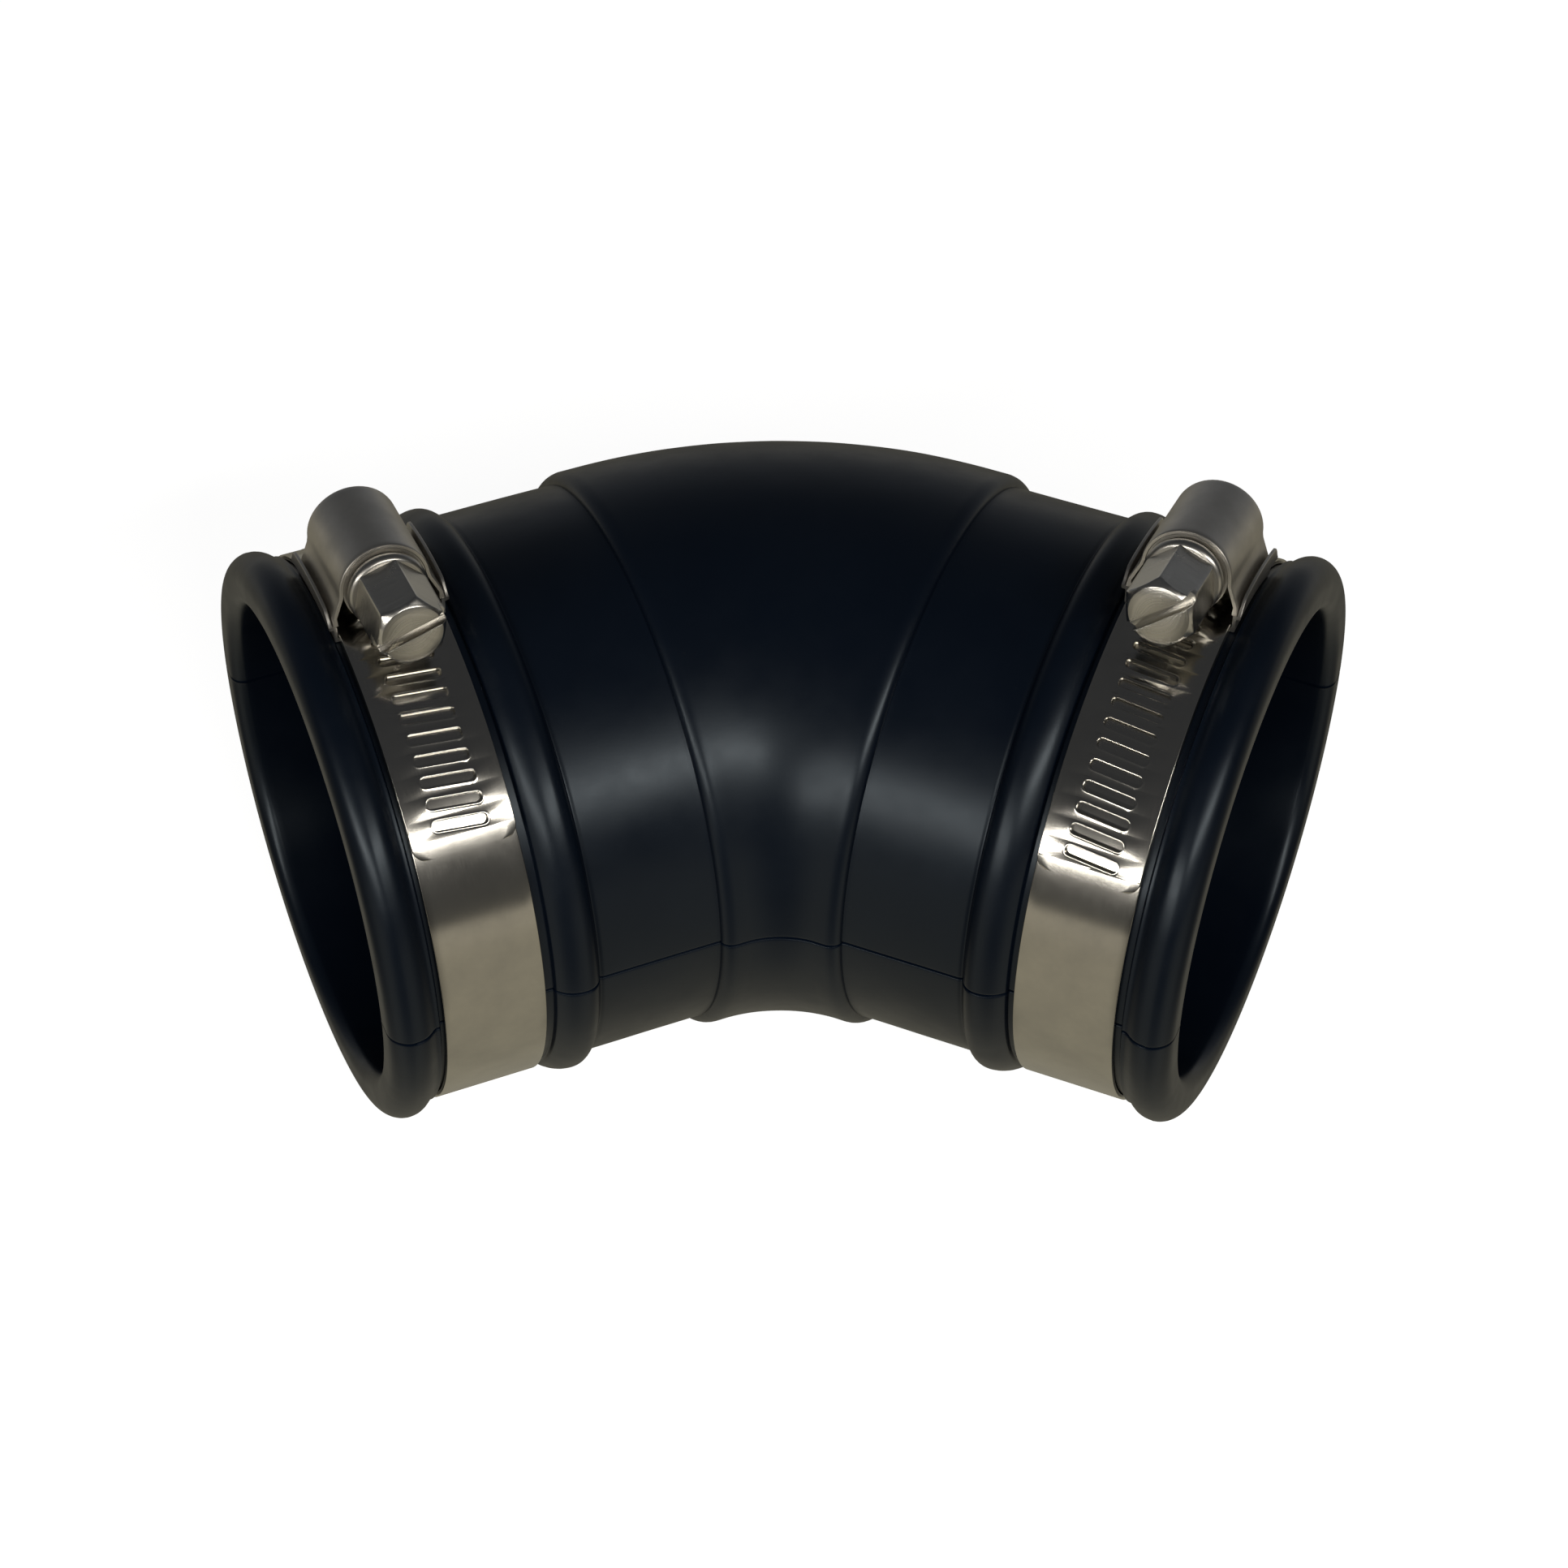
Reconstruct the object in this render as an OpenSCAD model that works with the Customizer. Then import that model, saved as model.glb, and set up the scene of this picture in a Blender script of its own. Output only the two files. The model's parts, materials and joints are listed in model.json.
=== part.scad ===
// Flexible 45 degree elbow coupling for pipe, with two worm-drive band clamps.
// Millimetres. +Z is up, the bend lies flat in the XY plane, and both mouths turn towards -Y.
// The origin is the middle of the model's footprint, on the surface that it lies on.

/* [Bend] */
// Angle between the two arms
bend_angle = 45; // [30:1:60]
// Bend radius of the passage's centre line
bend_radius = 54.2; // [50:0.1:70]
// Bend radius of the outer shell, smaller than the passage's so that the bend is crowned outwards
shell_bend_radius = 46; // [44:0.1:49]
// Radius of the shell's cross-section
shell_radius = 36.5; // [36.2:0.1:37.5]
// Radius of the shell's straight shoulders, just under the curved part's
shoulder_radius = 36.35; // [36:0.05:36.4]
// Rounding of the shell's two shoulders
shoulder_round = 1.2; // [0.6:0.1:1.4]
// Radius of the water passage through the bend
passage_radius = 28.5; // [25:0.1:29.5]

/* [Arms] */
// Outer radius of each arm
arm_radius = 35; // [34.8:0.1:35.4]
// Length of each arm, from the end of the bend to the mouth
arm_length = 42; // [41.5:0.1:46]
// Bore radius of the sockets, for pipe of 60.3 mm outside diameter
socket_radius = 30.2; // [29.8:0.05:30.6]
// Depth of each socket, from the mouth to the pipe stop
socket_depth = 40; // [36:0.5:41]
// Rounding of the bore's edge at the mouth
mouth_round = 1.8; // [0.8:0.1:2.2]

/* [Beads and groove] */
// Radius of both beads at their crest
bead_radius = 36.5; // [36.2:0.05:36.8]
// Distance of the inner bead's crest along the arm
inner_bead_at = 17.7; // [17:0.1:17.7]
// Rounding of the inner bead's section on the groove's side
inner_bead_round = 4.7; // [4.2:0.1:4.7]
// Rounding of the inner bead's section on the bend's side, where it meets the arm in a crease
inner_bead_crease_round = 2.2; // [1.8:0.1:3]
// Rounding of the bead at the mouth
end_bead_round = 3; // [2.5:0.1:3.2]
// Radius of the groove's floor, which the band lies on
groove_radius = 34.4; // [34:0.05:34.4]
// Distance of the groove's middle along the arm
groove_at = 28.5; // [28.4:0.05:28.6]
// Room in the groove on each side of the band, which the saddle's side walls need too
groove_room = 0.9; // [0.9:0.05:1]
// Radius of the small step between the groove and the end bead
step_radius = 35.2; // [35:0.05:35.4]

/* [Clamp bands] */
// Width of the steel band
band_width = 12.7; // [12:0.1:12.7]
// Thickness of the steel band
band_thickness = 0.6; // [0.5:0.05:0.6]
// Length of one slot, across the band
slot_length = 6.6; // [6:0.1:8]
// Width of one slot, along the band
slot_width = 1.2; // [1.1:0.05:1.4]
// Slots in the far part of each loop, behind the screw
loop_slots = 21; // [0:1:24]
// Plain band past the left tail's last slot, in degrees round the arm
left_tip = 5.2; // [4:0.1:8]
// Plain band past the right tail's last slot
right_tip = 4.4; // [4:0.1:8]

/* [Clamp positions] */
// Turn of the left clamp round its arm, towards the front from straight up
left_turn = -8; // [-30:0.5:30]
// Turn of the right clamp round its arm
right_turn = -12; // [-30:0.5:30]
// Distance of the left clamp from the middle of its groove, towards the mouth
left_slide = 0.3; // [-0.3:0.1:0.3]
// Distance of the right clamp from the middle of its groove
right_slide = 0; // [-0.3:0.1:0.3]
// Slots of the left tail past the middle of its screw
left_slots = 13; // [6:1:18]
// Slots of the right tail past the middle of its screw
right_slots = 16; // [6:1:18]
// How far the left screw has drawn its slots past their even places, in degrees round the arm
left_phase = 1; // [-2.1:0.1:2.1]
// How far the right screw has drawn its slots
right_phase = -0.9; // [-2.1:0.1:2.1]

/* [Screws] */
// Pitch of the worm thread
thread_pitch = 2.6; // [2.6:0.1:2.6]
// Radius of the thread's crest
thread_crest = 4.7; // [4.6:0.05:4.7]
// Radius of the thread's root
thread_root = 3; // [2.9:0.05:3.2]
// Size of the hexagon across its flats
hex_flats = 8; // [7:0.1:8]
// Length of the hexagon
hex_length = 9.3; // [5:0.1:10]
// Radius of the collar under the hexagon
collar_radius = 4.9; // [4.7:0.05:5]
// Turn of the left screw's head from its thread
left_head_turn = 105; // [0:1:180]
// Turn of the right screw's head from its thread
right_head_turn = 130; // [0:1:180]

/* [Housings] */
// Reach of the housing towards the head, from straight above the arm
housing_front = 8; // [7.8:0.1:8.2]
// Reach of the housing away from the head
housing_back = 5.6; // [5.5:0.1:7.5]
// Outer radius of the housing's barrel
barrel_radius = 5.6; // [5.6:0.05:6]
// Wall of the housing
housing_wall = 0.6; // [0.5:0.05:0.6]
// Angle that the saddle covers round the arm
saddle_angle = 25; // [24:0.5:26]

/* [Hidden] */
$fn = 96;

// Small overlap that makes touching shapes one solid
joined = 0.5;
half_bend = bend_angle / 2;
groove_half = band_width / 2 + groove_room;

// Each arm's axis starts here, seen from the middle of the passage's centre line
arm_start_x = bend_radius * sin(half_bend);
arm_start_y = -bend_radius * (1 - cos(half_bend));
// Straight stretch between the shell's curved part and the arm's start
shell_straight = (bend_radius - shell_bend_radius) * tan(half_bend);
// The shell's bend centre, on the same bisector as the passage's
shell_centre_y = (bend_radius - shell_bend_radius) / cos(half_bend) - bend_radius;

// The model is shifted so that its box stands centred on the origin
end_bead_at = arm_length - end_bead_round;
front_y = arm_start_y - end_bead_at * sin(half_bend)
  - (bead_radius - end_bead_round) * cos(half_bend) - end_bead_round;
back_y = shell_centre_y + shell_bend_radius + shell_radius;
row_shift = [0, -(front_y + back_y) / 2, max(shell_radius, bead_radius)];

// Clearances between the layers of a clamp, on the radius
band_gap = 0.1;
loop_in = groove_radius + band_gap;
loop_out = loop_in + band_thickness;
tail_in = loop_out + band_gap;
tail_out = tail_in + band_thickness;

// Slots are one thread pitch apart where the thread meets the band
slot_step = 4.2;
slot_slant = atan(thread_pitch / (2 * PI * thread_crest));
thread_bite = 0.35;
screw_at = tail_out - thread_bite + thread_crest;
// The tail's back end, from a slot: between two crests of the thread at every turn of the screw
tail_back = -11.5;
loop_start = saddle_angle / 2 + 0.1;
first_loop_slot = 4;

// The saddle's side walls pass beside the tail, and its flanges lie over the beads
tab_in = band_width / 2 + 0.1;
tab_thick = 0.4;
flange_in = bead_radius + 0.1;
flange_out = flange_in + 0.5;
saddle_half = 7.4;
lip_thick = 0.4;
lip_height = 1.6;

// Journals of the screw, with a running fit in the housing's end walls
end_wall = 0.7;
end_wall_depth = 3.8;
foot_thick = 0.5;
neck_radius = 2.6;
nose_radius = 2.5;
journal_gap = 0.05;
nose_past = 0.6;
thread_end_gap = 0.3;
thread_facets = 24;
slices_per_turn = 16;
collar_thick = 1.6;
collar_gap = 0.2;
driver_slot = 1.2;
driver_slot_depth = 1.7;

// Frame of one arm: local +Z runs out of the mouth on the left, and side 1 is its mirror image
module rubber_arm_frame(side) {
  mirror([side > 0 ? 1 : 0, 0, 0])
    translate(row_shift)
      translate([-arm_start_x, arm_start_y, 0])
        rotate([0, 0, half_bend])
          rotate([0, -90, 0])
            children();
}

// Frame of one clamp: local +X points from the arm's axis to the screw, +Y to the screw's head,
// and +Z runs along the arm towards +X of the model
module clamp_frame(side) {
  turn = side < 0 ? left_turn : right_turn;
  slide = side < 0 ? left_slide : right_slide;
  translate(row_shift)
    translate([side * arm_start_x, arm_start_y, 0])
      rotate([0, 0, 180 - side * half_bend])
        rotate([0, -90, 0])
          translate([0, 0, side * (groove_at + slide)])
            rotate([0, 0, turn])
              children();
}

// Angle of one slot round the arm, from the middle of the screw
function slot_angle(side, i) = i * slot_step + (side < 0 ? left_phase : right_phase);

// Frame of one screw: local +Z runs along the screw to its head and +X points away from the arm
module screw_frame() {
  translate([screw_at, 0, 0])
    rotate([-90, 0, 0])
      children();
}

// A ring segment about local Z, centred on angle middle
module ring_segment(angle, middle = 0) {
  rotate([0, 0, middle - angle / 2])
    rotate_extrude(angle = angle)
      children();
}

// Outer outline of an arm, x is the radius and y the distance along the arm
module arm_outline() {
  difference() {
    union() {
      translate([0, -joined])
        square([arm_radius, groove_at + joined]);
      intersection() {
        translate([bead_radius - inner_bead_round, inner_bead_at])
          circle(r = inner_bead_round);
        translate([0, inner_bead_at])
          square([bead_radius + 1, groove_at - inner_bead_at]);
      }
      intersection() {
        translate([bead_radius - inner_bead_crease_round, inner_bead_at])
          circle(r = inner_bead_crease_round);
        square([bead_radius + 1, inner_bead_at]);
      }
      translate([0, groove_at])
        square([step_radius, end_bead_at - groove_at]);
      square([bead_radius - end_bead_round, arm_length]);
      translate([bead_radius - end_bead_round, end_bead_at])
        circle(r = end_bead_round);
    }
    translate([groove_radius, groove_at - groove_half])
      square([4, 2 * groove_half]);
  }
}

// Outline of the straight end of the bend's shell, with its rounded shoulder
module shoulder_outline() {
  translate([0, -shell_straight - joined])
    square([shoulder_radius, shell_straight + joined - shoulder_round]);
  translate([0, -shell_straight])
    square([shoulder_radius - shoulder_round, shell_straight]);
  translate([shoulder_radius - shoulder_round, -shoulder_round])
    circle(r = shoulder_round);
}

// Everything that the socket takes out of an arm, with a rounded edge at the mouth
module socket_cut() {
  stop_at = arm_length - socket_depth;
  translate([0, stop_at])
    square([socket_radius, socket_depth + 1]);
  difference() {
    translate([0, arm_length - mouth_round])
      square([socket_radius + mouth_round, mouth_round + 1]);
    translate([socket_radius + mouth_round, arm_length - mouth_round])
      circle(r = mouth_round);
  }
  polygon([
    [0, -joined],
    [passage_radius - 0.2, -joined],
    [passage_radius + 0.4, stop_at],
    [passage_radius + 0.4, stop_at + joined],
    [0, stop_at + joined]
  ]);
}

// A bent solid rod about a vertical bend axis, for the shell and the passage
module bent_rod(radius, bend, centre_y) {
  translate(row_shift)
    translate([0, centre_y, 0])
      rotate([0, 0, 90 - half_bend])
        rotate_extrude(angle = bend_angle)
          translate([bend, 0])
            circle(r = radius);
}

module elbow() {
  color([0.08, 0.09, 0.11])
    difference() {
      union() {
        bent_rod(shell_radius, shell_bend_radius, shell_centre_y);
        for (side = [-1, 1])
          rubber_arm_frame(side)
            rotate_extrude()
              union() {
                arm_outline();
                shoulder_outline();
              }
      }
      bent_rod(passage_radius, bend_radius, -bend_radius);
      for (side = [-1, 1])
        rubber_arm_frame(side)
          rotate_extrude()
            socket_cut();
    }
}

// One slot through the band, at an angle round the arm
module band_slot(angle) {
  rotate([0, 0, angle])
    translate([(loop_in + tail_out) / 2, 0, 0])
      rotate([-slot_slant, 0, 0])
        cube([3, slot_width, slot_length], center = true);
}

// Fixed part of the band: once round the arm, from one end of the saddle to the other
module band(side) {
  color([0.62, 0.61, 0.57])
    clamp_frame(side)
      difference() {
        ring_segment(360 - 2 * loop_start, 180)
          translate([loop_in, -band_width / 2])
            square([band_thickness, band_width]);
        for (i = [0 : 1 : loop_slots - 1])
          band_slot(slot_angle(side, -first_loop_slot - i));
      }
}

// Free part of the band: the slotted tail that the screw draws through the housing
module tail(side, slots, past_slots) {
  back = slot_angle(side, 0) + tail_back;
  tip = slot_angle(side, slots) + past_slots;
  color([0.58, 0.57, 0.53])
    clamp_frame(side)
      difference() {
        ring_segment(tip - back, (tip + back) / 2)
          translate([tail_in, -band_width / 2])
            square([band_thickness, band_width]);
        for (i = [-2 : 1 : slots])
          band_slot(slot_angle(side, i));
      }
}

// Half of the saddle's section: floor plate, side wall, flange over the bead and upturned lip
module saddle_half_outline() {
  square_to(loop_in, 0, loop_out, tab_in + tab_thick);
  square_to(loop_in, tab_in, flange_out, tab_in + tab_thick);
  square_to(flange_in, tab_in, flange_out, saddle_half);
  square_to(flange_in, saddle_half - lip_thick, flange_out + lip_height, saddle_half);
}

// A rectangle between two corners
module square_to(x0, y0, x1, y1) {
  translate([x0, y0])
    square([x1 - x0, y1 - y0]);
}

// Curved base that carries the housing and holds the fixed end of the band
module saddle(side) {
  color([0.52, 0.51, 0.48])
    clamp_frame(side)
      difference() {
        ring_segment(saddle_angle)
          for (edge = [0, 1])
            mirror([0, edge, 0])
              saddle_half_outline();
        // The lips' ends slope down to the flange
        for (end = [0, 1])
          mirror([0, end, 0])
            rotate([0, 0, saddle_angle / 2])
              linear_extrude(height = 2 * saddle_half + 2, center = true)
                polygon([
                  [flange_out, 1],
                  [flange_out, 0],
                  [flange_out + 2 * lip_height, -2.4 * lip_height],
                  [flange_out + 2 * lip_height, 1]
                ]);
      }
}

// One leg of the housing, x away from the arm and y sideways, from the screw's axis
module housing_leg_outline() {
  knee = -3;
  foot = flange_out - screw_at - 1.2;
  spread = tab_in + tab_thick;
  polygon([
    [0, barrel_radius - housing_wall + 0.05],
    [0, barrel_radius - 0.05],
    [knee, spread],
    [foot, spread],
    [foot, spread - housing_wall],
    [knee, spread - housing_wall]
  ]);
}

// Arched barrel over the screw, with end walls that hold its journals and feet on the saddle
module housing(side) {
  foot_inner = tab_in + tab_thick - housing_wall - 0.1;
  foot_outer = tab_in + tab_thick - 0.15;
  housing_length = housing_front + housing_back;
  color([0.5, 0.49, 0.46])
    clamp_frame(side)
      union() {
        difference() {
          screw_frame()
            difference() {
              translate([0, 0, -housing_back])
                union() {
                  linear_extrude(height = housing_length)
                    union() {
                      difference() {
                        circle(r = barrel_radius);
                        circle(r = barrel_radius - housing_wall);
                        translate([-12, -10])
                          square([11, 20]);
                      }
                      for (edge = [0, 1])
                        mirror([0, edge, 0])
                          housing_leg_outline();
                    }
                  for (at = [0, housing_length - end_wall])
                    translate([0, 0, at])
                      linear_extrude(height = end_wall)
                        difference() {
                          circle(r = barrel_radius - joined / 2);
                          translate([-12, -10])
                            square([12 - end_wall_depth, 20]);
                        }
                }
              cylinder(r = neck_radius + journal_gap, h = housing_length);
              translate([0, 0, -housing_length])
                cylinder(r = nose_radius + journal_gap, h = housing_length);
            }
          cylinder(r = flange_out + foot_thick / 2, h = 4 * saddle_half, center = true);
        }
        ring_segment(saddle_angle - 1)
          for (edge = [0, 1])
            mirror([0, edge, 0])
              square_to(flange_out, foot_inner, flange_out + foot_thick, foot_outer);
      }
}

// Hexagon head with a bevelled face and a slot for a flat driver
module screw_head() {
  corner = hex_flats / 2 / cos(30);
  intersection() {
    difference() {
      cylinder(r = corner, h = hex_length, $fn = 6);
      translate([0, 0, hex_length])
        cube([3 * corner, driver_slot, 2 * driver_slot_depth], center = true);
    }
    rotate_extrude()
      polygon([
        [0, 0],
        [corner + 0.2, 0],
        [corner + 0.2, hex_length - 0.9],
        [hex_flats / 2 - 0.5, hex_length],
        [0, hex_length]
      ]);
  }
}

// Worm screw: thread between the housing's end walls, journals, collar and hexagon head
module screw(side, head_turn) {
  wall_in = housing_front - end_wall;
  thread_from = end_wall + thread_end_gap - housing_back;
  thread_length = wall_in - thread_end_gap - thread_from;
  turns = thread_length / thread_pitch;
  // The crest points at the band where a slot is
  slot_ahead = (screw_at - thread_crest) * sin(slot_angle(side, 0));
  middle_radius = (thread_crest + thread_root) / 2;
  offset_radius = (thread_crest - thread_root) / 2;
  collar_at = housing_front + collar_gap;
  color([0.68, 0.67, 0.64])
    clamp_frame(side)
      screw_frame()
        union() {
          translate([0, 0, thread_from])
            rotate([0, 0, 180 + 360 * (thread_from - slot_ahead) / thread_pitch])
              linear_extrude(height = thread_length, twist = -360 * turns,
                             slices = ceil(turns * slices_per_turn), $fn = thread_facets)
                translate([offset_radius, 0])
                  circle(r = middle_radius, $fn = thread_facets);
          translate([0, 0, -housing_back - nose_past])
            cylinder(r = nose_radius, h = 3);
          translate([0, 0, wall_in - 2])
            cylinder(r = neck_radius, h = collar_at + joined - wall_in + 2);
          rotate_extrude()
            translate([0, collar_at])
              union() {
                square([collar_radius - collar_thick / 2, collar_thick]);
                translate([collar_radius - collar_thick / 2, collar_thick / 2])
                  circle(r = collar_thick / 2);
              }
          translate([0, 0, collar_at + collar_thick - 0.3])
            rotate([0, 0, head_turn])
              screw_head();
        }
}

elbow();
band(-1);  // band_left
tail(-1, left_slots, left_tip);  // tail_left
saddle(-1);  // saddle_left
housing(-1);  // housing_left
screw(-1, left_head_turn);  // screw_left
band(1);  // band_right
tail(1, right_slots, right_tip);  // tail_right
saddle(1);  // saddle_right
housing(1);  // housing_right
screw(1, right_head_turn);  // screw_right
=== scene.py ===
import json
import math

import bmesh
import bpy
import numpy as np
from mathutils import Matrix, Vector, noise


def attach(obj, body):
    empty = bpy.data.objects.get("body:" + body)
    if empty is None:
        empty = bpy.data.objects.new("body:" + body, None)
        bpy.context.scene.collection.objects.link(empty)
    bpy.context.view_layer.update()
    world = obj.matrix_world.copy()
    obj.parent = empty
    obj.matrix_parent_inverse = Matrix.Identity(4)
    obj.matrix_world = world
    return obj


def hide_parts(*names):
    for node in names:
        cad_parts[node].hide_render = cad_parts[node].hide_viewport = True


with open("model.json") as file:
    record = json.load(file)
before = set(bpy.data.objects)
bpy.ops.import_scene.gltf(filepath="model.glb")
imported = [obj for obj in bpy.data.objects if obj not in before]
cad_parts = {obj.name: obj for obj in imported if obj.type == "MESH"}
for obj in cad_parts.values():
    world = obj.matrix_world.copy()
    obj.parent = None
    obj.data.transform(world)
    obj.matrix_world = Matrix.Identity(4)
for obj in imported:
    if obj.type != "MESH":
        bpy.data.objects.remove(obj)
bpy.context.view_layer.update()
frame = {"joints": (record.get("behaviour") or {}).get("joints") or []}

MM = 0.001
scene = bpy.context.scene

# Design sizes in millimetres. They are the CAD part's, apart from those in the second group
BEND_HALF = math.radians(22.5)
BEND_RADIUS = 54.2
SHELL_BEND = 46.0
LEFT_CLAMP_AT = 28.8
BAND_WIDTH = 12.7
BAND_THICK = 0.6
LOOP_OUT = 35.1
TAIL_OUT = 35.8
SLOT_WIDTH = 1.2
SLOT_STEP = 4.2
SCREW_AT = 40.15
HOUSING_FRONT = 8.0
HOUSING_BACK = 5.6
SCREW_PITCH = 2.6

# Seen only here: slots a little shorter and more slanted, rounder shoulders, and the parting groove
SLOT_LENGTH = 6.5
SLOT_SLANT = math.radians(6.0)
SHOULDER = 2.0
PARTING_HEIGHT = 36.5
PARTING_DEPTH = 0.30
PARTING_WIDTH = 0.17

SIDES = {"left": -1, "right": 1}
TAIL_SLOTS = {"left": 13, "right": 16}
SLOT_PHASE = {"left": 1.0, "right": -0.9}
TAIL_TIP = {"left": 5.2, "right": 4.4}
HEAD_TURN = {"left": 105.0, "right": 130.0}
LOOP_START = 12.6
TAIL_BACK = 11.5
TAIL_CORNER = 1.7
JOINTS = {j["name"]: j for j in frame["joints"]}


# ---------------------------------------------------------------- frames
def clamp_frame(side):
    """The clamp's own frame: +X to the screw, +Y to the screw's head, +Z along the arm."""
    turn = JOINTS[f"clamp_{side}_turn"]
    screw = JOINTS[f"screw_{side}_turn"]
    centre = Vector(turn["pos_m"]) / MM
    z = Vector(turn["axis"]).normalized()
    out = Vector(screw["pos_m"]) / MM - centre
    x = (out - z * out.dot(z)).normalized()
    y = z.cross(x)
    m = Matrix((x, y, z)).transposed().to_4x4()
    m.translation = centre
    return m


def screw_frame(side):
    """The screw's own frame: +Z to its head, +X away from the arm."""
    m = clamp_frame(side)
    local = Matrix(((1, 0, 0, SCREW_AT), (0, 0, 1, 0), (0, -1, 0, 0), (0, 0, 0, 1)))
    return m @ local


# ---------------------------------------------------------------- mesh helpers
def make_object(name, verts, faces, frame_matrix, body, node, grain=None, sharp=40):
    """A mesh from points in millimetres in a local frame, riding on a body in a CAD node's place."""
    mesh = bpy.data.meshes.new(name)
    mesh.from_pydata([tuple((frame_matrix @ Vector(v)) * MM) for v in verts], [], faces)
    if grain is not None:
        layer = mesh.attributes.new("grain", "FLOAT_VECTOR", "POINT")
        layer.data.foreach_set("vector", np.asarray(grain, dtype=np.float32).ravel())
    bm = bmesh.new()
    bm.from_mesh(mesh)
    bmesh.ops.remove_doubles(bm, verts=bm.verts, dist=1e-7)
    bmesh.ops.dissolve_degenerate(bm, dist=1e-8, edges=bm.edges)
    bmesh.ops.recalc_face_normals(bm, faces=bm.faces)
    bm.to_mesh(mesh)
    bm.free()
    mesh.shade_smooth()
    mesh.set_sharp_from_angle(angle=math.radians(sharp))
    obj = bpy.data.objects.new(name, mesh)
    scene.collection.objects.link(obj)
    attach(obj, body)
    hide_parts(node)
    return obj


def grid_faces(rows, cols, closed_rows=False, closed_cols=False, first=0):
    faces = []
    for i in range(rows if closed_rows else rows - 1):
        for j in range(cols if closed_cols else cols - 1):
            a = first + i * cols + j
            b = first + i * cols + (j + 1) % cols
            c = first + ((i + 1) % rows) * cols + (j + 1) % cols
            d = first + ((i + 1) % rows) * cols + j
            faces.append((a, b, c, d))
    return faces


def rounded_outline(points, steps=3):
    """A closed outline of (x, y, corner radius) with its corners rounded."""
    out = []
    n = len(points)
    for i, (x, y, radius) in enumerate(points):
        p = Vector((x, y))
        a = Vector(points[i - 1][:2]) - p
        b = Vector(points[(i + 1) % n][:2]) - p
        if radius <= 0:
            out.append((x, y))
            continue
        half = a.angle(b) / 2
        reach = min(radius / math.tan(half), 0.48 * a.length, 0.48 * b.length)
        start = p + a.normalized() * reach
        end = p + b.normalized() * reach
        for k in range(steps + 1):
            t = k / steps
            q = start * (1 - t) ** 2 + p * 2 * t * (1 - t) + end * t ** 2
            out.append((q.x, q.y))
    return out


# ---------------------------------------------------------------- rubber elbow
def smooth_max(a, b, blend):
    h = max(blend - abs(a - b), 0) / blend
    return max(a, b) + h * h * blend / 4


def smooth_step(x, lo, hi):
    t = min(max((x - lo) / (hi - lo), 0), 1)
    return t * t * (3 - 2 * t)


# The rubber's outline: radii, and distances along an arm from the end of the bend
SHELL_RADIUS = 36.35
SHELL_CROWN = 0.11
ARM_RADIUS = 35
ARM_SWELL = 0.05
CREASE_AT, CREASE_DEPTH, CREASE_WIDTH = 15.45, 0.12, 0.3
BEAD_AT, BEAD_RADIUS = 17.7, 36.5
BEAD_ROUND_BEND, BEAD_ROUND_GROOVE = 2.2, 4.7
GROOVE_RADIUS = 34.4
GROOVE_NEAR = (21.1, 21.4)
GROOVE_FAR = (35.6, 35.9)
END_RADIUS = 35.2
LIP_AT, LIP_CENTRE, LIP_ROUND = 39, 33.5, 3
MOUTH_AT, MOUTH_CENTRE, MOUTH_ROUND = 40.2, 32, 1.8
PASSAGE_RADIUS = 28.5
SOCKET_RADIUS = 30.2
LIP_SHARE = 0.4


def arm_radius_at(s):
    """Outer radius of the rubber at distance s along an arm, up to the end bead's crest."""
    if s <= -SHOULDER:
        return SHELL_RADIUS
    if s < 0:
        foot = ARM_RADIUS + ARM_SWELL
        return foot + (SHELL_RADIUS - foot) * math.sqrt(max(1 - (s / SHOULDER + 1) ** 2, 0))
    arm = ARM_RADIUS + ARM_SWELL * (1 - smooth_step(s, 0, 0.5))
    arm -= CREASE_DEPTH * math.exp(-((s - CREASE_AT) / CREASE_WIDTH) ** 2)
    bead_round = BEAD_ROUND_BEND if s < BEAD_AT else BEAD_ROUND_GROOVE
    bead = BEAD_RADIUS - bead_round + math.sqrt(max(bead_round ** 2 - (s - BEAD_AT) ** 2, 0))
    r = smooth_max(arm, bead, 0.2) if s < BEAD_AT else bead
    end = LIP_CENTRE + math.sqrt(max(LIP_ROUND ** 2 - (s - LIP_AT) ** 2, 0))
    far = smooth_max(END_RADIUS, end, 0.6) if s > 36 else END_RADIUS
    into = smooth_step(s, *GROOVE_NEAR)
    out_of = smooth_step(s, *GROOVE_FAR)
    r = r * (1 - into) + GROOVE_RADIUS * into
    return r * (1 - out_of) + far * out_of


def angle_steps(start, stop, step):
    """Whole degrees from start up to, but not including, stop, in radians."""
    return [math.radians(a) for a in range(start, stop, step)]


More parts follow.
